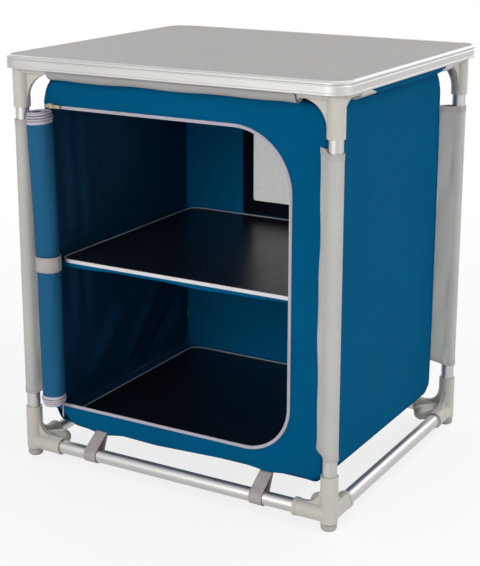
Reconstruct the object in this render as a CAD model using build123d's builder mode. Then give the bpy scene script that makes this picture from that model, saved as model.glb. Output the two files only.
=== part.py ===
"""A camping kitchen unit: a plug-together aluminium frame with moulded corner connectors, a
laminate worktop in an aluminium edge, and a hanging fabric cabinet with a rolled-up zip door,
a shelf and a floor board.

Millimetres. +X is to the right, +Y to the back, +Z up. The origin is on the floor, below the
middle of the worktop.
"""

import os
from math import atan2, degrees

from build123d import *

# Overall size
WIDTH = 600  # worktop, left to right
DEPTH = 520  # worktop, front to back
HEIGHT = 675  # floor to the top of the worktop's rim

# Tube frame
LEG_INSET = 25  # leg axis, in from the worktop's edge
TUBE_D = 22
TUBE_WALL = 1.2
TUBE_FIT = 0.1  # radial play of a tube in its socket or on its plug
TUBE_END = 0.4  # a tube's end stops this far from the shoulder of its socket
LOW_RAIL_Z = 25  # axis of the rails near the floor
TOP_RAIL_DROP = 25  # axis of the rails under the worktop, below the rim's top

# Moulded connectors
SOCKET_D = 27
ARM_REACH = 57  # from the leg axis to the end of an arm
LOW_SOCKET_TOP = 87
LOW_SOCKET_BEVEL = 1.6
LOW_WEB_R = 25  # concave web between the leg socket and a rail socket
LOW_WEB_T = 8
COLLAR_D = 28.4
COLLAR_L = 6
LOBE_D = 26  # closed bulb between the two rail sockets
LOBE_REACH = 47  # from the leg axis to the centre of the bulb's round end
SOCKET_FLOOR = 4  # thickness below the leg tube
TOP_SOCKET_DROP = 83  # lower end of the top connector's socket, below the rim's top
TOP_SOCKET_DEPTH = 50
TOP_ARM_W = 20
TOP_ARM_ROUND = 3
TOP_ARM_DROP = 29  # underside of a top arm, below the rim's top
TOP_WEB_T = 6
TOP_WEB_R = 42
PLUG_L = 28  # the part of a top arm that sits in its rail

# Feet
FOOT_H = 10.8
FOOT_D = 24.6
FOOT_ROUND = 5
FOOT_LINE = 0.5  # dark line between foot and connector
FOOT_PIN_D = 12

# Worktop
CORNER_R = 33
RIM_H = 20
RIM_LIP = 0.7  # the rim stands above the laminate by this much
RIM_BEVEL = 2.2
RIM_LIP_H = 4.6
RIM_GROOVE = 1.3
RIM_BAND_TOP = 8
RIM_BAND_IN = 0.6
RIM_BAND_LOW = 16.8
RIM_WALL = 1.3
RIM_COVER = 6  # width of the rim's top, in from the edge
RIM_FLANGE = 7.4  # reach of the flange below the board
BOARD_T = 11.6
BOARD_PLAY = 0.15
PEG_D = 8
PEG_H = 5
PEG_TAPER = 8
PEG_PLAY = 0.5
SEAT_GAP = 0.3  # between pieces that rest on each other and lift apart

# Fabric cabinet
CLOTH_T = 1.5
BOX_IN_X = 24  # outer face of a side panel, in from the leg axis
BOX_IN_Y = 25  # outer face of the front or back panel, in from the leg axis
BOX_LIFT = 33  # lower edge of the panels, above the axis of the bottom rails
BOX_DROP = 38  # upper edge of the panels, below the rim's top
TOP_CLOTH_DROP = 2  # the top cloth lies this far below the panels' upper edges
PANEL_TOP_R = 40
PANEL_LOW_R = 24
SEAM_GAP = 0.3  # between sewn fabric pieces that are separate solids
TUNNEL_END = 1  # a rail's tunnel stops this far from the connector

# D-shaped door opening in the front panel
DOOR_IN = 61  # straight side of the D, in from the cabinet's right side
DOOR_LIFT = 33  # lower edge, above the panel's lower edge
DOOR_DROP = 48  # upper edge, below the panel's upper edge
DOOR_TOP_R = 95
DOOR_LOW_R = 75
ZIP_W = 7
ZIP_T = 1.2
SLIDER_L = 12
SLIDER_H = 8
SLIDER_T = 3
PULL_L = 17
PULL_W = 5.5
PULL_T = 1.4
PULL_NECK = 4  # from the pin to the wide part of the pull
PULL_ROUND = 2
PULL_EYE_R = 1.7
PULL_PIN_R = 0.8
PIN_PLAY = 0.06
EYE_PLAY = 0.3
SLIDER_ROUND = 2.5
LUG_SPAN = 4
LUG_T = 1.2

# Mesh window in the back panel
WINDOW_W = 212
WINDOW_H = 192
WINDOW_DROP = 77  # upper edge, below the panel's upper edge
WINDOW_R = 12
BINDING_W = 25
BINDING_T = 1.2
MESH_T = 0.8

# Sleeves of fabric on the rails and legs
SLEEVE_T = 1.2
SLEEVE_PLAY = 0.3
SLEEVE_FOLD_R = 1.6  # outside of the narrow fold that is sewn to the cabinet's corner
LEG_SLEEVE_LIFT = 25  # lower end, above the lower connector's socket
LEG_SLEEVE_DROP = 20  # upper end, below the top connector's socket

# Shelf and floor board
SHELF_PLAY_X = 14.5  # between the shelf's trim and a side panel
SHELF_PLAY_Y = 2.5  # between the shelf's trim and the front or back panel
SHELF_CORNER_R = 22
SHELF_T = 5
SHELF_TOP = 341
SHELF_TRIM_W = 2.5
SHELF_TRIM_UP = 0.6  # the trim stands above the board by this much
SLING_LIP = 9
SLING_IN = 3  # front fold of the sling, in from the shelf's edge
FLOOR_T = 4

# Rolled door
ROLL_IN_X = 39  # the roll's axis, in from the leg axis
ROLL_IN_Y = 2.5
ROLL_R = 19.5
ROLL_LIFT = 7  # the roll's lower end, above the door opening's lower edge
ROLL_DROP = 3  # the roll's upper end, below the door opening's upper edge
ROLL_END = 14  # band of zip tape at each end of the roll
ROLL_TAPE_OUT = 1.5
ROLL_CORE_R = 6
STRAP_W = 25
STRAP_Z = 340  # middle of the strap round the roll
STRAP_T = 0.8
TAB_FROM = -62  # free end of the strap's tab, degrees round the roll
TAB_TO = -4

# Straps round the front rail
TIE_X = 155
TIE_W = 22
TIE_T = 1.2
TIE_END_R = 1.8
TIE_IN = 2

LEG_X = WIDTH / 2 - LEG_INSET
LEG_Y = DEPTH / 2 - LEG_INSET
TUBE_R = TUBE_D / 2
SOCKET_R = SOCKET_D / 2
BORE_R = TUBE_R + TUBE_FIT
PLUG_R = TUBE_R - TUBE_WALL - TUBE_FIT
TOP_RAIL_Z = HEIGHT - TOP_RAIL_DROP
BOARD_TOP = HEIGHT - RIM_LIP - BOARD_PLAY
BOARD_BOTTOM = BOARD_TOP - BOARD_T
FLANGE_TOP = BOARD_BOTTOM - BOARD_PLAY
CONNECTOR_TOP = BOARD_BOTTOM - SEAT_GAP
TOP_ARM_BOTTOM = HEIGHT - TOP_ARM_DROP
TOP_ARM_TOP = CONNECTOR_TOP - 1
TOP_SOCKET_BOTTOM = HEIGHT - TOP_SOCKET_DROP
SOCKET_BOTTOM = FOOT_H + FOOT_LINE
SLEEVE_IN_R = TUBE_R + SLEEVE_PLAY
SLEEVE_OUT_R = SLEEVE_IN_R + SLEEVE_T
LEG_SLEEVE_LOW = LOW_SOCKET_TOP + LEG_SLEEVE_LIFT
LEG_SLEEVE_HIGH = TOP_SOCKET_BOTTOM - LEG_SLEEVE_DROP
BOX_X = LEG_X - BOX_IN_X
BOX_Y = LEG_Y - BOX_IN_Y
BOX_BOTTOM = LOW_RAIL_Z + BOX_LIFT
BOX_TOP = HEIGHT - BOX_DROP
INNER_X = BOX_X - CLOTH_T
INNER_Y = BOX_Y - CLOTH_T
DOOR_RIGHT = BOX_X - DOOR_IN
DOOR_LOW = BOX_BOTTOM + DOOR_LIFT
DOOR_HIGH = BOX_TOP - DOOR_DROP
ZIP_FACE = BOX_Y + ZIP_T
WINDOW_HIGH = BOX_TOP - WINDOW_DROP
WINDOW_Z = WINDOW_HIGH - WINDOW_H / 2
FLOOR_BOTTOM = BOX_BOTTOM + CLOTH_T + SEAT_GAP
SHELF_X = INNER_X - SHELF_PLAY_X
SHELF_Y = INNER_Y - SHELF_PLAY_Y
SHELF_BOTTOM = SHELF_TOP - SHELF_T
SLING_TOP = SHELF_BOTTOM - SEAT_GAP
SLING_FRONT = SHELF_Y - SLING_IN
ROLL_X = ROLL_IN_X - LEG_X
ROLL_Y = ROLL_IN_Y - LEG_Y
ROLL_LOW = DOOR_LOW + ROLL_LIFT
ROLL_HIGH = DOOR_HIGH - ROLL_DROP
SLIDER_X = ROLL_X  # the slider is parked just above the roll

UP = Vector(0, 0, 1)

# The four corners: name, side in X, side in Y, turn of a connector made for the front left
CORNERS = [
    ("front_left", -1, -1, 0),
    ("front_right", 1, -1, 90),
    ("back_right", 1, 1, 180),
    ("back_left", -1, 1, 270),
]

os.makedirs("parts", exist_ok=True)


def save(part, name):
    part.label = name
    export_step(part, f"parts/{name}.step")


def tube(start, way, length, outer_r, wall=TUBE_WALL):
    """A round tube from a point, in a direction."""
    with BuildPart() as piece:
        with BuildSketch(Plane(origin=start, z_dir=way)):
            Circle(outer_r)
            Circle(outer_r - wall, mode=Mode.SUBTRACT)
        extrude(amount=length)
    return piece.part


def placed(part, side_x, side_y, turn):
    """A corner piece, made at the origin for the front left, in its own corner."""
    with BuildPart() as piece:
        with Locations(Location((side_x * LEG_X, side_y * LEG_Y, 0), (0, 0, turn))):
            add(part)
    return piece.part


def web_face(radius):
    """A concave web, from its corner at the origin, with an overlap into both its neighbours."""
    root = -3
    with BuildSketch() as face:
        with BuildLine():
            Polyline((0, radius), (root, radius), (root, root), (radius, root), (radius, 0))
            CenterArc((radius, radius), radius, 180, 90)
        make_face()
    return face.sketch


def arm_plane(direction, out, z):
    """The plane across an arm, at a distance from the leg axis."""
    return Plane(origin=direction * out + UP * z, x_dir=UP.cross(direction), z_dir=direction)


def web_plane(direction, z, up):
    """The plane along an arm, with its origin where the arm meets the leg socket."""
    corner = direction * SOCKET_R + UP * z
    return Plane(origin=corner, x_dir=direction, z_dir=direction.cross(up))


# Lower connector: leg socket, two rail sockets with collars and webs, a closed bulb between
ARM_WAYS = [Vector(1, 0, 0), Vector(0, 1, 0)]
BULB_WAY = Vector(1, 1, 0).normalized()
BORE_START = SOCKET_R + 3
with BuildPart() as lower_connector:
    with BuildSketch(Plane.XY.offset(SOCKET_BOTTOM)):
        Circle(SOCKET_R)
    extrude(amount=LOW_SOCKET_TOP - SOCKET_BOTTOM)
    chamfer(lower_connector.edges().sort_by(Axis.Z)[0], LOW_SOCKET_BEVEL)
    for way in ARM_WAYS:
        with BuildSketch(arm_plane(way, 0, LOW_RAIL_Z)):
            Circle(SOCKET_R)
        extrude(amount=ARM_REACH)
        with BuildSketch(arm_plane(way, ARM_REACH - COLLAR_L, LOW_RAIL_Z)):
            Circle(COLLAR_D / 2)
        extrude(amount=COLLAR_L)
        with BuildSketch(web_plane(way, LOW_RAIL_Z + SOCKET_R, UP)):
            add(web_face(LOW_WEB_R))
        extrude(amount=LOW_WEB_T / 2, both=True)
    with BuildSketch(arm_plane(BULB_WAY, 0, LOW_RAIL_Z)):
        Circle(LOBE_D / 2)
    extrude(amount=LOBE_REACH)
    with Locations(BULB_WAY * LOBE_REACH + UP * LOW_RAIL_Z):
        Sphere(LOBE_D / 2)
    with BuildSketch(Plane.XY.offset(SOCKET_BOTTOM + SOCKET_FLOOR)):
        Circle(BORE_R)
    extrude(amount=LOW_SOCKET_TOP, mode=Mode.SUBTRACT)
    with BuildSketch(Plane.XY.offset(SOCKET_BOTTOM)):
        Circle(FOOT_PIN_D / 2 + TUBE_FIT)
    extrude(amount=SOCKET_FLOOR, mode=Mode.SUBTRACT)
    for way in ARM_WAYS:
        with BuildSketch(arm_plane(way, BORE_START, LOW_RAIL_Z)):
            Circle(BORE_R)
        extrude(amount=ARM_REACH, mode=Mode.SUBTRACT)

# Top connector: leg socket, two arms that end in plugs for the rails, webs, a locating peg
with BuildPart() as top_connector:
    with BuildSketch(Plane.XY.offset(TOP_SOCKET_BOTTOM)):
        Circle(SOCKET_R)
    extrude(amount=CONNECTOR_TOP - TOP_SOCKET_BOTTOM)
    for way in ARM_WAYS:
        arm_height = TOP_ARM_TOP - TOP_ARM_BOTTOM
        with BuildSketch(arm_plane(way, 0, TOP_ARM_BOTTOM + arm_height / 2)):
            RectangleRounded(TOP_ARM_W, arm_height, TOP_ARM_ROUND)
        extrude(amount=ARM_REACH)
        with BuildSketch(arm_plane(way, ARM_REACH - 1, TOP_RAIL_Z)):
            Circle(PLUG_R)
        extrude(amount=PLUG_L + 1)
        with BuildSketch(web_plane(way, TOP_ARM_BOTTOM, -UP)):
            add(web_face(TOP_WEB_R))
        extrude(amount=TOP_WEB_T / 2, both=True)
    with BuildSketch(Plane.XY.offset(TOP_SOCKET_BOTTOM)):
        Circle(BORE_R)
    extrude(amount=TOP_SOCKET_DEPTH, mode=Mode.SUBTRACT)
    with BuildSketch(Plane.XY.offset(CONNECTOR_TOP)):
        Circle(PEG_D / 2)
    extrude(amount=PEG_H, taper=PEG_TAPER)

# Foot: a round cap below the connector, held by a pin in the socket's floor
with BuildPart() as foot:
    with BuildSketch(Plane.XZ):
        with BuildLine():
            Line((0, 0), (FOOT_D / 2 - FOOT_ROUND, 0))
            CenterArc((FOOT_D / 2 - FOOT_ROUND, FOOT_ROUND), FOOT_ROUND, -90, 90)
            Polyline(
                (FOOT_D / 2, FOOT_ROUND),
                (FOOT_D / 2, FOOT_H),
                (FOOT_PIN_D / 2, FOOT_H),
                (FOOT_PIN_D / 2, SOCKET_BOTTOM + SOCKET_FLOOR),
                (0, SOCKET_BOTTOM + SOCKET_FLOOR),
                (0, 0),
            )
        make_face()
    revolve(axis=Axis.Z)

for corner, side_x, side_y, turn in CORNERS:
    save(placed(lower_connector.part, side_x, side_y, turn), f"lower_connector_{corner}")
    save(placed(top_connector.part, side_x, side_y, turn), f"top_connector_{corner}")
    save(placed(foot.part, side_x, side_y, turn), f"foot_{corner}")

# Legs and rails
LEG_BOTTOM = SOCKET_BOTTOM + SOCKET_FLOOR + TUBE_END
LEG_TOP = TOP_SOCKET_BOTTOM + TOP_SOCKET_DEPTH - TUBE_END
for corner, side_x, side_y, turn in CORNERS:
    leg = tube((side_x * LEG_X, side_y * LEG_Y, LEG_BOTTOM), (0, 0, 1), LEG_TOP - LEG_BOTTOM, TUBE_R)
    save(leg, f"leg_{corner}")

LOW_RAIL_IN = BORE_START + TUBE_END  # from the leg axis to the rail's end
TOP_RAIL_IN = ARM_REACH + TUBE_END
for level, z, inset in (("bottom", LOW_RAIL_Z, LOW_RAIL_IN), ("top", TOP_RAIL_Z, TOP_RAIL_IN)):
    across, along = LEG_X - inset, LEG_Y - inset
    for name, start, way, length in (
        ("front", (-across, -LEG_Y, z), (1, 0, 0), 2 * across),
        ("back", (-across, LEG_Y, z), (1, 0, 0), 2 * across),
        ("left", (-LEG_X, -along, z), (0, 1, 0), 2 * along),
        ("right", (LEG_X, -along, z), (0, 1, 0), 2 * along),
    ):
        save(tube(start, way, length, TUBE_R), f"{level}_rail_{name}")


# Worktop: a laminate board in an aluminium edge bent round it, with four blind peg holes.
# The edge's section is drawn from its outer top corner, inwards and down.
board_edge = RIM_GROOVE + RIM_WALL
skirt_wall = RIM_BAND_IN + RIM_WALL
flange_top = HEIGHT - FLANGE_TOP
with BuildPart() as worktop_edge:
    with BuildLine() as rim_line:
        FilletPolyline(
            (0, -DEPTH / 2, HEIGHT),
            (WIDTH / 2, -DEPTH / 2, HEIGHT),
            (WIDTH / 2, DEPTH / 2, HEIGHT),
            (0, DEPTH / 2, HEIGHT),
            radius=CORNER_R,
        )
    with BuildSketch(Plane(origin=(0, -DEPTH / 2, HEIGHT), x_dir=(0, 1, 0), z_dir=(1, 0, 0))):
        with BuildLine():
            Polyline(
                (RIM_COVER, 0),
                (RIM_BEVEL, 0),
                (0, -RIM_BEVEL),
                (0, -RIM_LIP_H),
                (RIM_GROOVE, -RIM_LIP_H - RIM_GROOVE),
                (RIM_GROOVE, RIM_GROOVE - RIM_BAND_TOP),
                (RIM_BAND_IN, -RIM_BAND_TOP),
                (RIM_BAND_IN, -RIM_BAND_LOW),
                (0, -RIM_BAND_LOW - RIM_BAND_IN),
                (0, -RIM_H),
                (skirt_wall, -RIM_H),
                (skirt_wall, -flange_top - RIM_WALL),
                (RIM_FLANGE, -flange_top - RIM_WALL),
                (RIM_FLANGE, -flange_top),
                (board_edge, -flange_top),
                (board_edge, -RIM_WALL),
                (RIM_COVER, -RIM_WALL),
                close=True,
            )
        make_face()
    sweep()
    mirror(about=Plane.YZ)

# The board's upper edge is rebated for the top of the rim
REBATE_Z = HEIGHT - RIM_WALL - BOARD_PLAY
with BuildPart() as worktop_board:
    for inset, bottom, top in (
        (RIM_GROOVE + RIM_WALL + BOARD_PLAY, BOARD_BOTTOM, REBATE_Z),
        (RIM_COVER + BOARD_PLAY, REBATE_Z, BOARD_TOP),
    ):
        with BuildSketch(Plane.XY.offset(bottom)):
            RectangleRounded(WIDTH - 2 * inset, DEPTH - 2 * inset, CORNER_R - inset)
        extrude(amount=top - bottom)
    with BuildSketch(Plane.XY.offset(BOARD_BOTTOM)):
        with GridLocations(2 * LEG_X, 2 * LEG_Y, 2, 2):
            Circle(PEG_D / 2 + PEG_PLAY)
    extrude(amount=PEG_H + PEG_PLAY, mode=Mode.SUBTRACT)

save(worktop_edge.part, "worktop_edge")
save(worktop_board.part, "worktop_board")


# Fabric cabinet
def panel_face(half_width):
    """A panel's outline, upright, with its corners cleared of the connectors."""
    height = BOX_TOP - BOX_BOTTOM
    with BuildSketch() as face:
        with Locations((0, BOX_BOTTOM + height / 2)):
            Rectangle(2 * half_width, height)
        fillet(face.vertices().group_by(Axis.Y)[-1], PANEL_TOP_R)
        fillet(face.vertices().group_by(Axis.Y)[0], PANEL_LOW_R)
    return face.sketch


def door_face(grow):
    """The D-shaped opening, from the cabinet's left edge, grown by a margin."""
    left, right = -BOX_X - 1, DOOR_RIGHT + grow
    low, high = DOOR_LOW - grow, DOOR_HIGH + grow
    with BuildSketch() as face:
        with BuildLine():
            FilletPolyline(
                (left, high),
                (right, high),
                (right, low),
                (left, low),
                radius=(DOOR_TOP_R + grow, DOOR_LOW_R + grow),
            )
            Line((left, low), (left, high))
        make_face()
    return face.sketch


with BuildPart() as panel_front:
    with BuildSketch(Plane.XZ.offset(INNER_Y)):
        add(panel_face(BOX_X))
        add(door_face(0), mode=Mode.SUBTRACT)
    extrude(amount=CLOTH_T)
save(panel_front.part, "panel_front")

with BuildPart() as zip_tape:
    with BuildSketch(Plane.XZ.offset(BOX_Y)):
        add(panel_face(BOX_X))
        add(door_face(ZIP_W), mode=Mode.INTERSECT)
        add(door_face(0), mode=Mode.SUBTRACT)
    extrude(amount=ZIP_T)
save(zip_tape.part, "zip_tape")

with BuildPart() as panel_back:
    with BuildSketch(Plane.XZ.offset(-BOX_Y)):
        add(panel_face(BOX_X))
        with Locations((0, WINDOW_Z)):
            RectangleRounded(WINDOW_W, WINDOW_H, WINDOW_R, mode=Mode.SUBTRACT)
    extrude(amount=CLOTH_T)
save(panel_back.part, "panel_back")

for name, offset in (("left", -BOX_X), ("right", INNER_X)):
    with BuildPart() as panel_side:
        with BuildSketch(Plane.YZ.offset(offset)):
            add(panel_face(INNER_Y - SEAM_GAP))
        extrude(amount=CLOTH_T)
    save(panel_side.part, f"panel_{name}")


with BuildPart() as cabinet_floor:
    with BuildSketch(Plane.XY.offset(BOX_BOTTOM)) as face:
        Rectangle(2 * (INNER_X - SEAM_GAP), 2 * (INNER_Y - SEAM_GAP))
        chamfer(face.vertices(), PANEL_LOW_R)
    extrude(amount=CLOTH_T)
save(cabinet_floor.part, "cabinet_floor")

with BuildPart() as cabinet_top:
    with BuildSketch(Plane.XY.offset(BOX_TOP - TOP_CLOTH_DROP)) as face:
        Rectangle(2 * (INNER_X - SEAM_GAP), 2 * (INNER_Y - SEAM_GAP))
        chamfer(face.vertices(), PANEL_TOP_R)
    extrude(amount=-CLOTH_T)
save(cabinet_top.part, "cabinet_top")

# Mesh window, with its binding on the inside of the back panel
with BuildPart() as window_mesh:
    with BuildSketch(Plane.XZ.offset(-BOX_Y + (CLOTH_T - MESH_T) / 2)):
        with Locations((0, WINDOW_Z)):
            RectangleRounded(WINDOW_W - 2 * SEAM_GAP, WINDOW_H - 2 * SEAM_GAP, WINDOW_R)
    extrude(amount=MESH_T)
save(window_mesh.part, "window_mesh")

with BuildPart() as window_binding:
    with BuildSketch(Plane.XZ.offset(-INNER_Y)):
        with Locations((0, WINDOW_Z)):
            RectangleRounded(WINDOW_W + 2 * BINDING_W, WINDOW_H + 2 * BINDING_W, WINDOW_R)
            RectangleRounded(WINDOW_W, WINDOW_H, WINDOW_R, mode=Mode.SUBTRACT)
    extrude(amount=BINDING_T)
save(window_binding.part, "window_binding")

# Fabric tunnels that hang the cabinet from the top rails: a sleeve and a tail down to the panel
for name, outward, axis_out, panel_out, half_length in (
    ("front", Vector(0, -1, 0), LEG_Y, BOX_Y, LEG_X - ARM_REACH - TUNNEL_END),
    ("back", Vector(0, 1, 0), LEG_Y, BOX_Y, LEG_X - ARM_REACH - TUNNEL_END),
    ("left", Vector(-1, 0, 0), LEG_X, BOX_X, LEG_Y - ARM_REACH - TUNNEL_END),
    ("right", Vector(1, 0, 0), LEG_X, BOX_X, LEG_Y - ARM_REACH - TUNNEL_END),
):
    with BuildPart() as tunnel:
        with BuildSketch(Plane(origin=(0, 0, 0), x_dir=outward, z_dir=outward.cross(UP))):
            with Locations((axis_out, TOP_RAIL_Z)):
                Circle(SLEEVE_OUT_R)
            with BuildLine():
                Polyline(
                    (axis_out - SLEEVE_IN_R, TOP_RAIL_Z),
                    (axis_out - SLEEVE_OUT_R, TOP_RAIL_Z),
                    (panel_out - CLOTH_T, BOX_TOP + SEAM_GAP),
                    (panel_out, BOX_TOP + SEAM_GAP),
                    close=True,
                )
            make_face()
            with Locations((axis_out, TOP_RAIL_Z)):
                Circle(SLEEVE_IN_R, mode=Mode.SUBTRACT)
        extrude(amount=half_length, both=True)
    save(tunnel.part, f"tunnel_{name}")


# Leg sleeves, each a loop of cloth from the cabinet's corner round the leg
def sleeve_loop(side_x, side_y, grow):
    """The hull round the leg and the sewn fold at the cabinet's corner."""
    leg = Vector(side_x * LEG_X, side_y * LEG_Y)
    reach = Vector(side_x * BOX_X, side_y * BOX_Y) - leg
    fold = leg + reach.normalized() * (reach.length - SEAM_GAP - SLEEVE_FOLD_R)
    with BuildSketch() as face:
        with Locations(leg):
            Circle(SLEEVE_IN_R + grow)
        with Locations(fold):
            Circle(SLEEVE_FOLD_R - SLEEVE_T + grow)
        make_hull()
    return face.sketch


for corner, side_x, side_y, turn in CORNERS:
    with BuildPart() as sleeve:
        with BuildSketch(Plane.XY.offset(LEG_SLEEVE_LOW)):
            add(sleeve_loop(side_x, side_y, SLEEVE_T))
            add(sleeve_loop(side_x, side_y, 0), mode=Mode.SUBTRACT)
        extrude(amount=LEG_SLEEVE_HIGH - LEG_SLEEVE_LOW)
    save(sleeve.part, f"leg_sleeve_{corner}")


# Webbing ties from the cabinet's front bottom edge round the front rail
def tie_loop(grow):
    """The hull round the rail and the sewn end of the tie, in outward and up coordinates."""
    with BuildSketch() as face:
        with Locations((LEG_Y, LOW_RAIL_Z)):
            Circle(SLEEVE_IN_R + grow)
        with Locations((INNER_Y - TIE_IN, BOX_BOTTOM - SEAM_GAP - TIE_END_R)):
            Circle(TIE_END_R - TIE_T + grow)
        make_hull()
    return face.sketch


for name, x in (("left", -TIE_X), ("right", TIE_X)):
    with BuildPart() as tie:
        with BuildSketch(Plane(origin=(x, 0, 0), x_dir=(0, -1, 0), z_dir=(-1, 0, 0))):
            add(tie_loop(TIE_T))
            add(tie_loop(0), mode=Mode.SUBTRACT)
        extrude(amount=TIE_W / 2, both=True)
    save(tie.part, f"rail_tie_{name}")


# Shelf and floor board, each a thin board in a light trim, and the sling that carries the shelf
def trimmed_board(bottom, thickness):
    """A board and its trim."""
    inner_x, inner_y = SHELF_X - SHELF_TRIM_W, SHELF_Y - SHELF_TRIM_W
    inner_r = SHELF_CORNER_R - SHELF_TRIM_W
    with BuildPart() as board:
        with BuildSketch(Plane.XY.offset(bottom)):
            RectangleRounded(2 * inner_x, 2 * inner_y, inner_r)
        extrude(amount=thickness)
    with BuildPart() as trim:
        with BuildSketch(Plane.XY.offset(bottom)):
            RectangleRounded(2 * SHELF_X, 2 * SHELF_Y, SHELF_CORNER_R)
            RectangleRounded(2 * inner_x, 2 * inner_y, inner_r, mode=Mode.SUBTRACT)
        extrude(amount=thickness + SHELF_TRIM_UP)
    return board.part, trim.part


for name, bottom, thickness in (
    ("shelf", SHELF_BOTTOM, SHELF_T),
    ("floor", FLOOR_BOTTOM, FLOOR_T),
):
    board, trim = trimmed_board(bottom, thickness)
    save(board, f"{name}_board")
    save(trim, f"{name}_trim")

with BuildPart() as shelf_sling:
    with BuildSketch(Plane.YZ):
        with BuildLine():
            Polyline(
                (SLING_FRONT, SLING_TOP),
                (-SLING_FRONT, SLING_TOP),
                (-SLING_FRONT, SLING_TOP - SLING_LIP),
                (CLOTH_T - SLING_FRONT, SLING_TOP - SLING_LIP),
                (CLOTH_T - SLING_FRONT, SLING_TOP - CLOTH_T),
                (SLING_FRONT, SLING_TOP - CLOTH_T),
                close=True,
            )
        make_face()
    extrude(amount=INNER_X - SEAM_GAP, both=True)
save(shelf_sling.part, "shelf_sling")

# Rolled door: the roll with the strip that joins it to the cabinet's edge, the zip tape that
# shows at both ends, the strap round it and the strap's hook-and-loop tab
roll_centre = Vector(ROLL_X, ROLL_Y)
hinge_seam = Vector(CLOTH_T / 2 - BOX_X, SEAM_GAP - INNER_Y)
root = hinge_seam - roll_centre
root_start, root_end = ROLL_R - CLOTH_T, root.length - SEAM_GAP - CLOTH_T / 2
root_middle = roll_centre + root.normalized() * (root_start + root_end) / 2
root_place = Location(root_middle, (0, 0, degrees(atan2(root.Y, root.X))))
with BuildPart() as door_roll:
    with BuildSketch(Plane.XY.offset(ROLL_LOW + ROLL_END)):
        with Locations(roll_centre):
            Circle(ROLL_R)
        with Locations(root_place):
            Rectangle(root_end - root_start, CLOTH_T)
    extrude(amount=ROLL_HIGH - ROLL_LOW - 2 * ROLL_END)
save(door_roll.part, "door_roll")

with BuildPart() as roll_tape:
    for bottom in (ROLL_LOW, ROLL_HIGH - ROLL_END):
        with BuildSketch(Plane.XY.offset(bottom)):
            with Locations(roll_centre):
                Circle(ROLL_R + ROLL_TAPE_OUT)
                Circle(ROLL_CORE_R, mode=Mode.SUBTRACT)
        extrude(amount=ROLL_END)
save(roll_tape.part, "roll_tape")

STRAP_IN_R = ROLL_R + SLEEVE_PLAY
STRAP_OUT_R = STRAP_IN_R + STRAP_T
with BuildPart() as roll_strap:
    with BuildSketch(Plane.XY.offset(STRAP_Z - STRAP_W / 2)):
        with Locations(roll_centre):
            Circle(STRAP_OUT_R)
            Circle(STRAP_IN_R, mode=Mode.SUBTRACT)
        with Locations(root_place):
            Rectangle(root_end - root_start, CLOTH_T + 2 * SEAM_GAP, mode=Mode.SUBTRACT)
    extrude(amount=STRAP_W)
save(roll_strap.part, "roll_strap")

with BuildPart() as strap_tab:
    with BuildSketch(Plane.XY.offset(STRAP_Z - STRAP_W / 2)):
        inner_r, outer_r = STRAP_OUT_R + SEAM_GAP, STRAP_OUT_R + SEAM_GAP + STRAP_T
        with BuildLine():
            inner = CenterArc(roll_centre, inner_r, TAB_FROM, TAB_TO - TAB_FROM)
            outer = CenterArc(roll_centre, outer_r, TAB_FROM, TAB_TO - TAB_FROM)
            Line(inner @ 0, outer @ 0)
            Line(inner @ 1, outer @ 1)
        make_face()
    extrude(amount=STRAP_W)
save(strap_tab.part, "strap_tab")

# Zip slider on the top run of the zip, with lugs and a pin for its pull
ZIP_Z = DOOR_HIGH + ZIP_W / 2
SLIDER_BACK = ZIP_FACE + SEAM_GAP
PIN_OUT = SLIDER_BACK + SLIDER_T + PULL_EYE_R + EYE_PLAY
PIN_X = SLIDER_X + SLIDER_L / 4
with BuildPart() as zip_slider:
    with BuildSketch(Plane.XZ.offset(SLIDER_BACK)):
        with Locations((SLIDER_X, ZIP_Z)):
            RectangleRounded(SLIDER_L, SLIDER_H, SLIDER_ROUND)
    extrude(amount=SLIDER_T)
    for lug_bottom in (ZIP_Z - LUG_SPAN / 2 - LUG_T, ZIP_Z + LUG_SPAN / 2):
        with BuildSketch(Plane.XY.offset(lug_bottom)):
            with Locations((PIN_X, -PIN_OUT)):
                Circle(PULL_EYE_R)
            with Locations((PIN_X, -(SLIDER_BACK + SLIDER_T / 2 + PIN_OUT) / 2)):
                Rectangle(2 * PULL_EYE_R, PIN_OUT - SLIDER_BACK - SLIDER_T / 2)
        extrude(amount=LUG_T)
    with BuildSketch(Plane.XY.offset(ZIP_Z - LUG_SPAN / 2 - LUG_T / 2)):
        with Locations((PIN_X, -PIN_OUT)):
            Circle(PULL_PIN_R)
    extrude(amount=LUG_SPAN + LUG_T)
save(zip_slider.part, "zip_slider")

with BuildPart() as zip_pull:
    with BuildSketch(Plane.XY.offset(ZIP_Z - LUG_SPAN / 2 + EYE_PLAY)):
        with Locations((PIN_X, -PIN_OUT)):
            Circle(PULL_EYE_R)
    extrude(amount=LUG_SPAN - 2 * EYE_PLAY)
    with BuildSketch(Plane.XZ.offset(PIN_OUT - PULL_T / 2)):
        with Locations((PIN_X + PULL_L / 2, ZIP_Z)):
            Rectangle(PULL_L, LUG_SPAN - 2 * EYE_PLAY)
        with Locations((PIN_X + (PULL_L + PULL_NECK) / 2, ZIP_Z)):
            RectangleRounded(PULL_L - PULL_NECK, PULL_W, PULL_ROUND)
    extrude(amount=PULL_T)
    with BuildSketch(Plane.XY.offset(ZIP_Z - LUG_SPAN / 2)):
        with Locations((PIN_X, -PIN_OUT)):
            Circle(PULL_PIN_R + PIN_PLAY)
    extrude(amount=LUG_SPAN, mode=Mode.SUBTRACT)
save(zip_pull.part, "zip_pull")
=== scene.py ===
"""Looks for the camping kitchen unit: cloth, webbing, zip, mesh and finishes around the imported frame."""

import bpy
import numpy as np
from mathutils import Matrix, Vector


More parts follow.
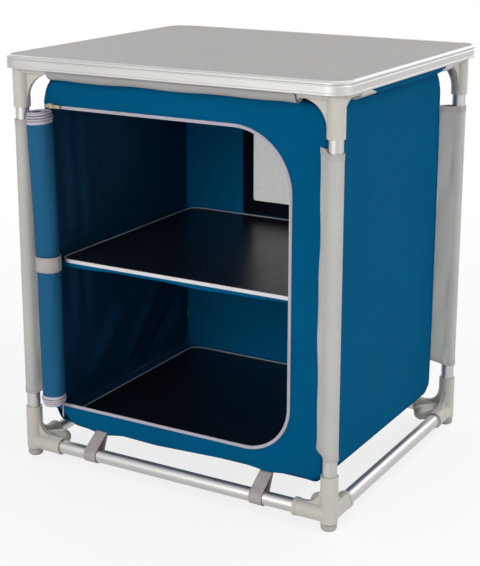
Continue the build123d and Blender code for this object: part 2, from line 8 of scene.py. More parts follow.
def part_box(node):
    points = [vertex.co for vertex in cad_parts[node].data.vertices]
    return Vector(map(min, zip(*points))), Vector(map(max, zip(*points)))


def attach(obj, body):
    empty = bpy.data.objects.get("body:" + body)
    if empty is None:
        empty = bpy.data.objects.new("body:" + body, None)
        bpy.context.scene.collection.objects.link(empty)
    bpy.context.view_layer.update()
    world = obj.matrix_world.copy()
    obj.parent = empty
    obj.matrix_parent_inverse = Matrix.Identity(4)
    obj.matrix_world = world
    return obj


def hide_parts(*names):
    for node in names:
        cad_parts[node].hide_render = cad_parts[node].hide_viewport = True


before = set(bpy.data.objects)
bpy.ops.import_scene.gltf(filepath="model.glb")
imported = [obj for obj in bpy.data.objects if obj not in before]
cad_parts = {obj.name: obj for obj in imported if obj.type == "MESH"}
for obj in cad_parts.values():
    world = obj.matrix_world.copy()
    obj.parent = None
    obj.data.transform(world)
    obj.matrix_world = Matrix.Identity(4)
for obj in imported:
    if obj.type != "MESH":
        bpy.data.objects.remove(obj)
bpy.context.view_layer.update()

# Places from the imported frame, in metres
panel_low, panel_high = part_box("panel_front")
LEFT, RIGHT, BOTTOM, TOP = panel_low.x, panel_high.x, panel_low.z, panel_high.z
FRONT, BACK = panel_low.y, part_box("panel_back")[1].y
tape_low, tape_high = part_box("zip_tape")
TAPE_W = 0.007
DOOR_RIGHT, DOOR_LOW, DOOR_HIGH = tape_high.x - TAPE_W, tape_low.z + TAPE_W, tape_high.z - TAPE_W
DOOR_LOW_R, DOOR_TOP_R = 0.075, 0.095  # corner radii of the opening
PANEL_LOW_R, PANEL_TOP_R = 0.024, 0.040  # and of the upright panels
PANEL = (LEFT, RIGHT, BOTTOM, TOP, PANEL_LOW_R, PANEL_TOP_R)  # the front and back panels' outline
mesh_low, mesh_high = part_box("window_mesh")
WINDOW_R = 0.003
CORNERS = {
    "front_left": (-1, -1),
    "front_right": (1, -1),
    "back_right": (1, 1),
    "back_left": (-1, 1),
}
LEG = (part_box("leg_front_right")[0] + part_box("leg_front_right")[1]) / 2
LEG_X, LEG_Y = LEG.x, -LEG.y
RAIL_Z = (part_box("top_rail_front")[0].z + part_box("top_rail_front")[1].z) / 2
LOW_RAIL_Z = (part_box("bottom_rail_front")[0].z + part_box("bottom_rail_front")[1].z) / 2
SLING_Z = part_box("shelf_sling")[1].z
SLEEVE_R = 0.0121  # a cloth sleeve round a tube
CLOTH_T = 0.0011
TIE_X, TIE_W, TIE_R = 0.155, 0.022, 0.0118  # the ties' distance from the middle, width and bend


# Materials
def srgb(*values):
    """A colour written as 0 to 255, as the linear one that a shader takes."""
    c = np.array(values) / 255
    return (*np.where(c <= 0.04045, c / 12.92, ((c + 0.055) / 1.055) ** 2.4).tolist(), 1)


class Look:
    """A material with a Principled shader, and short calls that add nodes to it."""

    def __init__(self, name, roughness, constants=()):
        self.material = bpy.data.materials.new(name)
        self.material.use_nodes = True
        self.tree = self.material.node_tree
        self.shader = self.tree.nodes["Principled BSDF"]
        self.shader.inputs["Roughness"].default_value = roughness
        for key, value in dict(constants).items():
            self.shader.inputs[key].default_value = value
        self.coords = self.tree.nodes.new("ShaderNodeTexCoord").outputs

    def node(self, kind, inputs=(), out=0, **settings):
        made = self.tree.nodes.new("ShaderNode" + kind)
        for key, value in settings.items():
            setattr(made, key, value)
        for key, value in dict(inputs).items():
            if isinstance(value, bpy.types.NodeSocket):
                self.tree.links.new(value, made.inputs[key])
            else:
                made.inputs[key].default_value = value
        return made.outputs[out]

    def math(self, operation, a, b=0.0):
        return self.node("Math", {0: a, 1: b}, operation=operation)

    def total(self, first, share, second):
        """A share of the first value and the rest of the second."""
        rest = self.math("MULTIPLY", second, 1 - share)
        return self.math("ADD", self.math("MULTIPLY", first, share), rest)

    def wave(self, place, length):
        return self.math("SINE", self.math("MULTIPLY", place, 2 * np.pi / length))

    def on_cloth(self):
        """How far a point lies along and across its flat cloth, in metres."""
        split = self.tree.nodes.new("ShaderNodeSeparateXYZ")
        self.tree.links.new(self.coords["UV"], split.inputs[0])
        return split.outputs[0], split.outputs[1]

    def stretched(self, source, scale):
        return self.node("Mapping", {"Vector": self.coords[source], "Scale": scale})

    def noise(self, scale, detail=2.0, roughness=0.5, vector=None):
        place = vector if vector is not None else self.coords["Object"]
        inputs = {"Vector": place, "Scale": scale, "Detail": detail, "Roughness": roughness}
        return self.node("TexNoise", inputs)

    def span(self, value, low, high, to_low=0.0, to_high=1.0):
        """The value's range low to high, moved to another range."""
        return self.node("MapRange", {0: value, 1: low, 2: high, 3: to_low, 4: to_high})

    def blend(self, share, first, second):
        return self.node("Mix", {0: share, 6: first, 7: second}, 2, data_type="RGBA")

    def color(self, socket):
        self.tree.links.new(socket, self.shader.inputs["Base Color"])

    def rough(self, socket):
        self.tree.links.new(socket, self.shader.inputs["Roughness"])

    def bump(self, height, distance, strength=1.0, under=None):
        inputs = {"Height": height, "Distance": distance, "Strength": strength}
        if under is not None:
            inputs["Normal"] = under
        out = self.node("Bump", inputs)
        self.tree.links.new(out, self.shader.inputs["Normal"])
        return out


def shade(color, factor):
    return (*(min(1.0, c * factor) for c in color[:3]), 1)


def cloth(name, color, pitch=0.0009, depth=0.00010, vary=0.08, roughness=0.8, sheen=0.02, gloss=0.05):
    """Woven cloth: plain weave along the piece's own width and length, with slow and fine variation."""
    look = Look(
        name, roughness,
        {"Sheen Weight": sheen, "Sheen Roughness": 0.4, "Sheen Tint": color, "Specular IOR Level": gloss},
    )
    along, across = look.on_cloth()
    weave = look.math("MULTIPLY", look.wave(along, pitch), look.wave(across, pitch))
    slow = look.noise(7, 4, 0.55)
    slub = look.noise(160, 3, 0.6, look.stretched("UV", (1, 6, 1)))
    tone = look.total(slow, 0.7, slub)
    base = look.blend(look.span(tone, 0.32, 0.68), shade(color, 1 - vary), shade(color, 1 + vary))
    thread = look.span(weave, -1, 1, 0.0, 0.16)
    look.color(look.blend(thread, base, shade(color, 0.45)))
    look.rough(look.span(slow, 0.3, 0.7, roughness - 0.05, roughness + 0.06))
    pucker = look.bump(look.noise(38, 3, 0.5), 0.0012, 0.35)
    look.bump(weave, depth, 0.8, pucker)
    return look.material


def webbing(name, color):
    """Ribbed webbing: ribs along the strap, with a fine twill on them."""
    look = Look(name, 0.75, {"Sheen Weight": 0.05, "Sheen Roughness": 0.4, "Specular IOR Level": 0.2})
    along, across = look.on_cloth()
    twill = look.wave(look.math("ADD", along, look.math("MULTIPLY", across, 1.6)), 0.0013)
    relief = look.math("ADD", look.wave(across, 0.0021), look.math("MULTIPLY", twill, 0.5))
    tone = look.span(look.noise(60, 4, 0.6), 0.3, 0.7)
    base = look.blend(tone, shade(color, 0.9), shade(color, 1.1))
    # the grooves between the ribs are darkened: painted shade
    look.color(look.blend(look.span(relief, -1.5, 1.5, 0.35, 0.0), base, shade(color, 0.4)))
    look.bump(relief, 0.00016, 0.9)
    return look.material


def plastic(name, color, roughness=0.45):
    """Moulded plastic: a fine spark-eroded grain, faint flow marks and slightly paler worn patches."""
    look = Look(name, roughness, {"Specular IOR Level": 0.45})
    flow = look.noise(24, 5, 0.6, look.stretched("Object", (1, 1, 0.35)))
    worn = look.span(look.noise(90, 6, 0.7), 0.58, 0.74)
    base = look.blend(look.span(flow, 0.3, 0.7), shade(color, 0.94), shade(color, 1.05))
    look.color(look.blend(look.math("MULTIPLY", worn, 0.35), base, shade(color, 1.22)))
    look.rough(look.span(flow, 0.3, 0.7, roughness - 0.07, roughness + 0.08))
    look.bump(look.noise(2600, 2, 0.6), 0.00006, 0.5)
    return look.material


def brushed(name, color, along, roughness=0.34):
    """Satin aluminium, drawn or brushed along one axis."""
    look = Look(name, roughness, {"Metallic": 1.0})
    scale = [1.0 if axis == along else 60.0 for axis in "xyz"]
    grain = look.noise(26, 3, 0.65, look.stretched("Object", scale))
    cloud = look.noise(9, 4, 0.55)
    tone = look.total(grain, 0.65, cloud)
    look.color(look.blend(look.span(tone, 0.3, 0.7), shade(color, 0.9), shade(color, 1.06)))
    look.rough(look.span(grain, 0.3, 0.7, roughness - 0.06, roughness + 0.09))
    look.bump(grain, 0.00002, 0.35)
    return look.material


def laminate(name, color):
    """Textured decor laminate: a fine fleck, drifting tone and a soft pebble."""
    look = Look(name, 0.68, {"Specular IOR Level": 0.2})
    fleck = look.node("TexVoronoi", {"Vector": look.coords["Object"], "Scale": 620.0})
    drift = look.noise(5, 5, 0.6, look.stretched("Object", (0.5, 1.4, 1)))
    fibre = look.noise(60, 6, 0.7, look.stretched("Object", (0.12, 1, 1)))
    tone = look.total(drift, 0.5, fibre)
    base = look.blend(look.span(tone, 0.35, 0.65), shade(color, 0.95), shade(color, 1.05))
    look.color(look.blend(look.span(fleck, 0.1, 0.55, 0.16, 0.0), base, shade(color, 0.62)))
    look.rough(look.span(fibre, 0.3, 0.7, 0.62, 0.74))
    look.bump(look.noise(900, 3, 0.6), 0.00008, 0.45)
    return look.material


def foil(name, color, roughness=0.3):
    """A board's smooth dark foil, with slight orange peel, dust haze and rub marks."""
    look = Look(name, roughness, {"Specular IOR Level": 0.5})
    haze = look.noise(11, 5, 0.6)
    rub = look.noise(40, 5, 0.7, look.stretched("Object", (1, 0.15, 1)))
    look.color(look.blend(look.span(haze, 0.35, 0.7), shade(color, 0.9), shade(color, 1.35)))
    look.rough(look.span(rub, 0.3, 0.7, roughness - 0.02, roughness + 0.04))
    look.bump(look.noise(260, 2, 0.5), 0.00003, 0.2)
    return look.material


BLUE = cloth("blue_cloth", srgb(1, 83, 123), sheen=0.01, gloss=0.02)
# darker than the blue cloth: partly the coated reverse side, partly painted shade of the cabinet's inside
BLUE_INSIDE = cloth("blue_cloth_inside", srgb(2, 60, 96), roughness=0.6, gloss=0.2)
# paler and greyer than the blue cloth: painted sheen of the rolled door
BLUE_ROLL_LIT = cloth("blue_cloth_rolled_painted_sheen", srgb(32, 89, 124), sheen=0.15)
GREY = cloth("grey_cloth", srgb(181, 180, 176), vary=0.06)
# a much darker grey: painted shade inside the tunnels' open ends
GREY_INSIDE_SHADED = cloth("grey_cloth_inside_shaded", srgb(96, 95, 93), vary=0.06)
# darker than the grey cloth: painted shadow of the worktop's rim on the tunnels
GREY_TUNNEL_SHADED = cloth("grey_cloth_tunnel_shaded", srgb(160, 159, 158), vary=0.06)
GREY_HEM = cloth("grey_cloth_hem", srgb(176, 171, 168), pitch=0.0012, vary=0.1)
NAVY = cloth("navy_tape", srgb(6, 12, 24), pitch=0.0012)
TAPE = cloth("zip_tape_twill", srgb(190, 184, 196), pitch=0.0007, vary=0.08)
STRAP = webbing("grey_webbing", srgb(178, 172, 170))
THREAD = cloth("sewing_thread", srgb(20, 70, 104), pitch=0.0005)
PALE_THREAD = cloth("pale_thread", srgb(170, 168, 165), pitch=0.0005)
# dark thread for the rolled tape: a seam, darkened as painted shade of the gaps between the tape's ridges
SEAM_SHADOW_THREAD = cloth("seam_shadow_thread", srgb(92, 90, 98), pitch=0.0005)
NET = cloth("window_thread", srgb(146, 147, 144), pitch=0.0006)
PLASTIC = plastic("warm_grey_plastic", srgb(180, 177, 169))
FOOT = plastic("foot_plastic", srgb(158, 155, 149), 0.55)
TRIM = plastic("trim_plastic", srgb(205, 202, 205), 0.4)
TUBES = {axis: brushed(f"tube_aluminium_{axis}", srgb(190, 188, 186), axis, 0.4) for axis in "xyz"}
EDGE = brushed("edge_aluminium", srgb(190, 188, 186), "x", 0.5)
TOP_BOARD = laminate("laminate", srgb(160, 157, 155))
BOARD = foil("black_foil", srgb(15, 17, 24))
ZIP_METAL = brushed("zip_metal", srgb(188, 182, 150), "x", 0.4)


def finish_node(name, material):
    """A CAD node that stays gets its finish."""
    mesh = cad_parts[name].data
    mesh.materials.clear()
    mesh.materials.append(material)


for corner in CORNERS:
    finish_node(f"lower_connector_{corner}", PLASTIC)
    finish_node(f"top_connector_{corner}", PLASTIC)
    finish_node(f"foot_{corner}", FOOT)
    finish_node(f"leg_{corner}", TUBES["z"])
for side, axis in (("front", "x"), ("back", "x"), ("left", "y"), ("right", "y")):
    finish_node(f"bottom_rail_{side}", TUBES[axis])
    finish_node(f"top_rail_{side}", TUBES[axis])
finish_node("worktop_edge", EDGE)
finish_node("worktop_board", TOP_BOARD)
for name in ("shelf", "floor"):
    finish_node(f"{name}_board", BOARD)
    finish_node(f"{name}_trim", TRIM)
finish_node("zip_slider", ZIP_METAL)
finish_node("zip_pull", ZIP_METAL)


# Building pieces
OPEN, RING, TUBE = (False, False), (True, False), (False, True)  # which way a grid closes on itself


def piece(name, mesh, materials, body="frame", replaces=()):
    made = bpy.data.objects.new(name, mesh)
    bpy.context.scene.collection.objects.link(made)
    for material in materials:
        mesh.materials.append(material)
    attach(made, body)
    if replaces:
        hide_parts(*replaces)
    return made


def made_mesh(name, points, faces, uv):
    mesh = bpy.data.meshes.new(name)
    mesh.from_pydata(points.reshape(-1, 3).tolist(), [], faces.tolist())
    layer = mesh.uv_layers.new(name="cloth")
    layer.data.foreach_set("uv", uv.astype(np.float32).ravel())
    mesh.polygons.foreach_set("use_smooth", [True] * len(mesh.polygons))
    mesh.update()
    return mesh


def run_lengths(points, axis, wrap):
    """How far along the grid each row lies, in metres, on average over the other way."""
    if wrap:
        points = np.concatenate([points, points.take([0], axis)], axis)
    steps = np.linalg.norm(np.diff(points, axis=axis), axis=2).mean(axis=1 - axis)
    return np.concatenate([[0], np.cumsum(steps)])


def cells(points, wrap, uv=None, flip=False):
    """The faces of a grid of points, and where each face's corners lie on the flat cloth."""
    n, m = points.shape[:2]
    i, j = np.meshgrid(np.arange(n - (not wrap[0])), np.arange(m - (not wrap[1])), indexing="ij")
    corners = [(i, j), (i + 1, j), (i + 1, j + 1), (i, j + 1)]
    if flip:
        corners = corners[::-1]
    faces = np.stack([(a % n) * m + b % m for a, b in corners], -1).reshape(-1, 4)
    if uv is None:
        first, second = run_lengths(points, 0, wrap[0]), run_lengths(points, 1, wrap[1])
        uv = np.stack(np.meshgrid(first, second, indexing="ij"), -1)
    return faces, np.stack([uv[a, b] for a, b in corners], -2).reshape(-1, 2)


def grid(name, points, wrap=OPEN, uv=None, flip=False):
    """A smooth sheet through a grid of points, closed on itself along either way if asked."""
    return made_mesh(name, points, *cells(points, wrap, uv, flip))


def joined(name, parts):
    """One mesh of several grids of points, each with the way it closes on itself."""
    points, faces, loops, start = [], [], [], 0
    for part, wrap in parts:
        part_faces, part_loops = cells(part, wrap)
        faces.append(part_faces + start)
        loops.append(part_loops)
        points.append(part.reshape(-1, 3))
        start += len(points[-1])
    return made_mesh(name, np.concatenate(points), np.concatenate(faces), np.concatenate(loops))


def thicken(made, thickness=CLOTH_T, offset=-1.0, inner=False):
    """Gives a sheet its thickness; the sheet is the outer face unless offset says otherwise."""
    solid = made.modifiers.new("thickness", "SOLIDIFY")
    solid.thickness = thickness
    solid.offset = offset
    solid.use_quality_normals = True
    if inner:
        solid.material_offset = 1
    return made


def tube_points(path, radius, sides):
    """Rings of points round a path, turned as little as possible from one to the next."""
    path = np.asarray(path, float)
    ways = np.concatenate([path[1:], path[-1:]]) - np.concatenate([path[:1], path[:-1]])
    ways /= np.linalg.norm(ways, axis=1)[:, None]
    side = np.cross(ways[0], (0, 0, 1) if abs(ways[0][2]) < 0.9 else (1, 0, 0))
    angles = np.arange(sides) * 2 * np.pi / sides
    radius = np.broadcast_to(radius, len(path))
    rings = []
    for centre, way, r in zip(path, ways, radius):
        side = side - way * (side @ way)
        side /= np.linalg.norm(side)
        other = np.cross(way, side)
        rings.append(centre + r * (np.outer(np.cos(angles), side) + np.outer(np.sin(angles), other)))
    return np.array(rings)


def resampled(path, spacing):
    """The path again, with points an even distance apart."""
    path = np.asarray(path, float)
    at = np.concatenate([[0], np.cumsum(np.linalg.norm(np.diff(path, axis=0), axis=1))])
    count = max(2, round(at[-1] / spacing) + 1)
    even = np.linspace(0, at[-1], count)
    return np.stack([np.interp(even, at, path[:, k]) for k in range(path.shape[1])], 1)


def stitches(name, paths, material, pitch=0.0034, length=0.0023, radius=0.00032):
    """A row of sewn stitches along each path."""
    parts = []
    for path in paths:
        line = resampled(path, pitch)
        for start, end in zip(line[:-1], line[1:]):
            way = (end - start) / np.linalg.norm(end - start)
            run = [start + way * length * share for share in (0, 0.18, 0.82, 1)]
            parts.append((tube_points(run, np.array([0.25, 1, 1, 0.25]) * radius, 5), TUBE))
    return piece(name, joined(name, parts), [material])


def upright(xz, y):
    """Points of an upright panel's plane, at the depth y."""
    return np.stack([xz[..., 0], y + 0 * xz[..., 0], xz[..., 1]], -1)


def smooth(t):
    t = np.clip(t, 0, 1)
    return t * t * (3 - 2 * t)


def crease(h, z, start, end, width, depth):
    """A soft ridge along a line of the cloth, which fades out past both of its ends."""
    a, b = np.array(start), np.array(end)
    way = (b - a) / np.linalg.norm(b - a)
    along = (h - a[0]) * way[0] + (z - a[1]) * way[1]
    across = (h - a[0]) * way[1] - (z - a[1]) * way[0]
    share = along / np.linalg.norm(b - a)
    return depth * np.exp(-((across / width) ** 2)) * smooth(share * 4 + 1) * smooth((1 - share) * 4 + 1)


def outline_hit(origin, angle, left, right, low, high, low_r, high_r):
    """Where a ray in the plane of a panel meets its rounded outline."""
    way = np.array([np.cos(angle), np.sin(angle)])
    origin = np.array(origin)
    reaches = []
    for k, (least, most) in enumerate(((left, right), (low, high))):
        if abs(way[k]) > 1e-9:
            reaches.append(((most if way[k] > 0 else least) - origin[k]) / way[k])
    hit = origin + min(reaches) * way
    r, z_centre = (high_r, high - high_r) if way[1] > 0 else (low_r, low + low_r)
    beyond = hit[1] > z_centre if way[1] > 0 else hit[1] < z_centre
    for x_centre, outside in ((right - r, hit[0] > right - r), (left + r, hit[0] < left + r)):
        if outside and beyond:
            centre = np.array([x_centre, z_centre]) - origin
            along = way @ centre
            return origin + way * (along + np.sqrt(max(0.0, along**2 - centre @ centre + r * r)))
    return hit


def between_outlines(centre, angles, inner, outer, share):
    """Rows of points from an inner to an outer rounded outline, along rays from a centre."""
    rows = []
    for angle in angles:
        first, last = outline_hit(centre, angle, *inner), outline_hit(centre, angle, *outer)
        rows.append(first + (last - first) * share[:, None])
    return np.array(rows)


# Front panel: a border round the D-shaped opening, with a hanging lower edge that the ties pull down
LOWER_EDGE = (  # x, and how far the edge lies above the straight outline, or below it if negative
    (-0.251, 0.001),
    (-0.247, 0.014),
    (-0.243, 0.019),
    (-0.238, 0.021),
    (-0.230, 0.015),
    (-0.221, 0.006),
    (-0.211, -0.002),
    (-0.191, -0.005),
    (-0.166, -0.008),
    (-0.147, -0.009),
    (-0.115, -0.004),
    (-0.05, -0.006),
    (0.037, -0.002),
    (0.106, 0.001),
    (0.156, -0.004),
    (0.19, 0.001),
    (0.221, 0.001),
    (0.251, -0.005),
)


def hang(x):
    """How far the lower edge lies above its straight outline at x, with the bends rounded off."""
    xs, dz = zip(*LOWER_EDGE)
    return np.mean([np.interp(x + shift, xs, dz) for shift in np.linspace(-0.005, 0.005, 5)], 0)


def front_cloth():
    turns = (
        np.linspace(-90, -80, 24, endpoint=False),
        np.linspace(-80, 80, 420, endpoint=False),
        np.linspace(80, 90, 25),
    )
    share = np.linspace(0, 1, 18)
    opening = (LEFT - 1, DOOR_RIGHT, DOOR_LOW, DOOR_HIGH, DOOR_LOW_R, DOOR_TOP_R)
    middle = (LEFT, (DOOR_LOW + DOOR_HIGH) / 2)
    rows = between_outlines(middle, np.radians(np.concatenate(turns)), opening, PANEL, share)
    x, z = rows[..., 0], rows[..., 1]
    border = np.linalg.norm(rows[:, -1] - rows[:, 0], axis=1)[:, None]
    free = np.clip((share * border - TAPE_W) / (border - TAPE_W), 0, 1)  # beyond the zip's tape
    z = z + hang(x) * free**1.2 * smooth((0.12 - z) / 0.06)
    belly = 0.0016 * np.sin(np.pi * free) * (0.5 + 0.5 * np.sin(x * 21 + 0.7) * np.cos(z * 9))
    pull = sum(
        crease(x, z, (tie, BOTTOM - 0.01), (tie + 0.03 * np.sign(tie), DOOR_LOW), 0.006, 0.0012)
        for tie in (-TIE_X - 0.01, -TIE_X + 0.01, TIE_X - 0.01, TIE_X + 0.01)
    )
    tuck = 0.0045 * smooth((free - 0.92) / 0.08) ** 2
    points = np.stack([x, FRONT - belly - pull * smooth(free * 4) + tuck, z], -1)
    mesh = grid("front_cloth", points, uv=points[:, :, (0, 2)], flip=True)
    made = piece("front_cloth", mesh, [BLUE, BLUE_INSIDE], replaces=["panel_front"])
    thicken(made, inner=True)
    return points


def side_limits(h, half, low_r, high_r):
    """How low and how high an upright panel reaches at a distance from its middle."""
    past_low, past_high = (np.clip(np.abs(h) - (half - r), 0, r) for r in (low_r, high_r))
    low = BOTTOM + low_r - np.sqrt(np.maximum(low_r**2 - past_low**2, 0))
    high = TOP - high_r + np.sqrt(np.maximum(high_r**2 - past_high**2, 0))
    return low, high


def wall_spread(half, count):
    """Positions across a panel, closer together near its rounded corners."""
    t = np.linspace(-1, 1, count)
    return half * np.sin(t * np.pi / 2) * 0.35 + half * t * 0.65


def side_cloth(side, sign, creases, belly):
    half = -FRONT - 0.0005
    h = wall_spread(half, 90)
    low, high = side_limits(h, half, PANEL_LOW_R, PANEL_TOP_R)
    low = low + 0.008  # this side hangs a little higher than the front
    share = np.linspace(0, 1, 100)
    hh = np.repeat(h[:, None], len(share), 1)
    z = low[:, None] + (high - low)[:, None] * share
    edge = smooth((half - np.abs(hh)) / 0.07) * smooth((z - BOTTOM) / 0.09) * smooth((TOP - z) / 0.06)
    edge = edge * smooth((np.abs(z - SLING_Z) - 0.004) / 0.04)  # the sling's seam holds the wall straight
    out = belly(hh, z) + sum(crease(hh, z, *c) for c in creases)
    points = np.stack([sign * (RIGHT + out * edge), hh, z], -1)
    name = f"side_cloth_{side}"
    mesh = grid(name, points, uv=points[:, :, 1:], flip=sign < 0)
    made = piece(name, mesh, [BLUE, BLUE_INSIDE], replaces=[f"panel_{side}"])
    thicken(made, inner=True)


def right_belly(y, z):
    return 0.0022 * np.sin(3.1 * np.pi * (y + 0.2)) * np.sin(np.pi * (z - BOTTOM) / (TOP - BOTTOM))


def left_belly(y, z):
    near = np.exp(-(((z - 0.38) / 0.16) ** 2)) * np.exp(-(((y + 0.15) / 0.05) ** 2))
    fold = 0.0045 * np.sin(150 * (y + 0.21) + 3 * z) * near
    wide = np.exp(-(((z - 0.42) / 0.2) ** 2)) * smooth((0.05 - y) / 0.2)
    slow = 0.004 * np.sin(38 * (y + 0.21) + 2 * z) * wide
    return fold + slow + 0.003 * np.sin(9 * y) * np.sin(7 * z)


def back_cloth():
    share = np.linspace(0, 1, 34) ** 1.15
    angles = np.radians(np.linspace(0, 360, 320, endpoint=False))
    opening = (mesh_low.x, mesh_high.x, mesh_low.z, mesh_high.z, WINDOW_R, WINDOW_R)
    rows = between_outlines((0.0, (mesh_low.z + mesh_high.z) / 2), angles, opening, PANEL, share)
    x, z = rows[..., 0], rows[..., 1]
    wave = np.sin(x * 16 + 1) * np.sin(z * 11) + 0.6 * np.sin(x * 31 - z * 14)
    ridge = crease(x, z, (-0.19, 0.36), (-0.07, 0.22), 0.02, 0.0025)
    out = np.sin(np.pi * share) * (0.0022 * (1.1 + wave) + ridge)
    points = upright(rows, BACK + np.maximum(out, -0.0005))
    flat = np.concatenate([points, points[:1]])[:, :, (0, 2)]
    mesh = grid("back_cloth", points, wrap=RING, uv=flat, flip=True)
    made = piece("back_cloth", mesh, [BLUE, BLUE_INSIDE], replaces=["panel_back"])
    thicken(made, inner=True)


def level_cloth(name, node, corner_r, drop, rise, lift):
    """The cabinet's floor or top: a level sheet sewn to the walls, which it follows at its corners."""
    low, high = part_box(node)
    lines = []
    for reach, count in ((high.x, 80), (high.y, 60)):
        rim = reach - np.array([0.006, 0.004, 0.002, 0.0])  # where the sheet turns along a wall
        lines.append(np.concatenate([-rim[::-1], wall_spread(reach - 0.009, count), rim]))
    xx, yy = np.meshgrid(*lines, indexing="ij")
    sag = drop * np.cos(np.pi * xx / (2 * high.x)) * np.cos(np.pi * yy / (2 * high.y))
    sag = sag + 0.25 * drop * np.sin(25 * xx) * np.sin(21 * yy + 1)
    sag = sag - rise * smooth((np.abs(xx) - high.x + 0.012) / 0.012)
    turned = np.zeros_like(xx)
    for along, across in ((xx, yy), (yy, xx)):
        end, edge = np.abs(along).max() - np.abs(along), np.abs(across).max() - np.abs(across)
        past = np.clip(corner_r - edge, 0, corner_r)
        climb = corner_r - np.sqrt(corner_r**2 - past**2)
        turned = np.maximum(turned, climb * smooth(1 - end / 0.007))
    points = np.stack([xx, yy, high.z - sag + lift * turned], -1)
    made = piece(name, grid(name, points, uv=points[:, :, :2]), [BLUE_INSIDE, BLUE], replaces=[node])
    thicken(made, inner=True)


# Zip along the D-shaped opening, with a loose end that hangs from its lower left corner
TAIL_X = -0.233


def teeth(count):
    """The swell and fall of a zip's coil, with three points to a tooth."""
    return 0.5 + 0.5 * np.cos(np.arange(count) * 2 * np.pi / 3)


def door_path(spacing):
    """Points along the opening's edge in X and Z, and the way out of the opening at each."""
    arc = np.radians(np.linspace(0, 90, 40))
    low_x, low_z = DOOR_RIGHT - DOOR_LOW_R, DOOR_LOW + DOOR_LOW_R
    top_x, top_z = DOOR_RIGHT - DOOR_TOP_R, DOOR_HIGH - DOOR_TOP_R
    path = np.concatenate(
        [
            [(LEFT + 0.006, DOOR_LOW)],
            np.stack([low_x + DOOR_LOW_R * np.sin(arc), low_z - DOOR_LOW_R * np.cos(arc)], 1),
            np.stack([top_x + DOOR_TOP_R * np.cos(arc), top_z + DOOR_TOP_R * np.sin(arc)], 1),
            [(LEFT + 0.002, DOOR_HIGH)],
        ]
    )
    path = resampled(path, spacing)
    ways = np.gradient(path, axis=0)
    ways /= np.linalg.norm(ways, axis=1)[:, None]
    return path, np.stack([ways[:, 1], -ways[:, 0]], 1)


def zip_band():
    path, out = door_path(0.004)
    profile = (  # across the tape from the opening's edge, and in front of the cloth
        (-0.0004, -0.0008),
        (-0.0004, 0.0002),
        (0.0018, 0.0003),
        (0.0023, 0.0009),
        (0.0034, 0.0010),
        (0.0043, 0.0009),
        (0.0047, 0.0004),
        (0.0048, -0.0004),
    )
    points = np.zeros((len(path), len(profile), 3))
    for k, (across, front) in enumerate(profile):
        points[:, k] = upright(path + out * across, FRONT - front)
    piece("zip_band", grid("zip_band", points, flip=True), [TAPE], replaces=["zip_tape"])
    fine, out = door_path(0.00045)
    radius = 0.00075 + 0.00035 * teeth(len(fine))
    coil = tube_points(upright(fine + out * 0.0010, FRONT - 0.0003), radius, 8)
    piece("zip_coil", grid("zip_coil", coil, wrap=TUBE), [TAPE])
    seam, beside = fine + out * 0.0037, fine + out * 0.0078
    stitches("zip_stitches", [upright(seam, FRONT - 0.0011)], PALE_THREAD)
    stitches("edge_stitches", [upright(beside, FRONT - 0.0003)], THREAD)
    x = TAIL_X + np.array([-0.0012, 0, 0.0012])
    x, z = np.meshgrid(x, np.linspace(DOOR_LOW - 0.025, DOOR_LOW - 0.001, 8))
    tail = np.stack([x, FRONT - 0.0014 - 0.0006 * np.sin((DOOR_LOW - z) * 150), z], -1)
    made = piece("zip_tail", grid("zip_tail", tail, flip=True), [TAPE])
    thicken(made, 0.0006)


# Rolled door, leaning outwards at its top and drawn in by the strap
roll_low, roll_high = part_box("roll_tape")
ROLL_X, ROLL_Y = (roll_low.x + roll_high.x) / 2, (roll_low.y + roll_high.y) / 2
strap_low, strap_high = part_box("roll_strap")
STRAP_Z = (strap_low.z + strap_high.z) / 2
TIGHT_TURNS, ALL_TURNS = 3, 5  # outer turns that lie tight, and all of them
ROLL_STEP = 0.0040  # how much further the next tight turn reaches, at both ends
SEAM = (LEFT + 0.0008, FRONT + 0.0018)
BAND_R, BAND_END_R = 0.0199, 0.0212  # the strap's inner radius, and its free end's over it


def roll_axis(z):
    """The middle of the roll at a height."""
    up = z - STRAP_Z
    return ROLL_X - 0.022 * up - 0.055 * up**2, ROLL_Y + 0 * z


def roll_radius(z):
    """The roll's outer radius: fuller at its ends than at the strap."""
    up = z - STRAP_Z
    ends = 0.0026 * smooth(up / 0.2) + 0.0008 * smooth(-up / 0.2)
    return 0.0188 + ends - 0.0004 * np.exp(-((up / 0.03) ** 2))


def roll_depth(turn):
    """How far inside the roll the cloth lies: in tight turns outside, in loose ones inside."""
    turns = turn / (2 * np.pi)
    return 0.0012 * turns + 0.0032 * np.maximum(turns - TIGHT_TURNS, 0) ** 1.3


def roll_place(turn, z, proud=0.0):
    """A point on the rolled cloth: turn is how far round it lies from the cabinet's edge."""
    x, y = roll_axis(z)
    outside = roll_radius(z) + 0.0005 * np.sin(2 * turn + 14 * z) + 0.0003 * np.sin(5 * turn - 31 * z)
    reach = np.hypot(SEAM[0] - x, SEAM[1] - y)
    leave = np.arccos(np.clip(outside / reach, 0, 1))
    radius = outside / np.cos(np.maximum(leave - turn, 0))
    radius = radius - roll_depth(np.maximum(turn - leave, 0)) + proud
    angle = np.arctan2(SEAM[1] - y, SEAM[0] - x) + turn
    return np.stack([x + radius * np.cos(angle), y + radius * np.sin(angle), z + 0 * turn], -1)


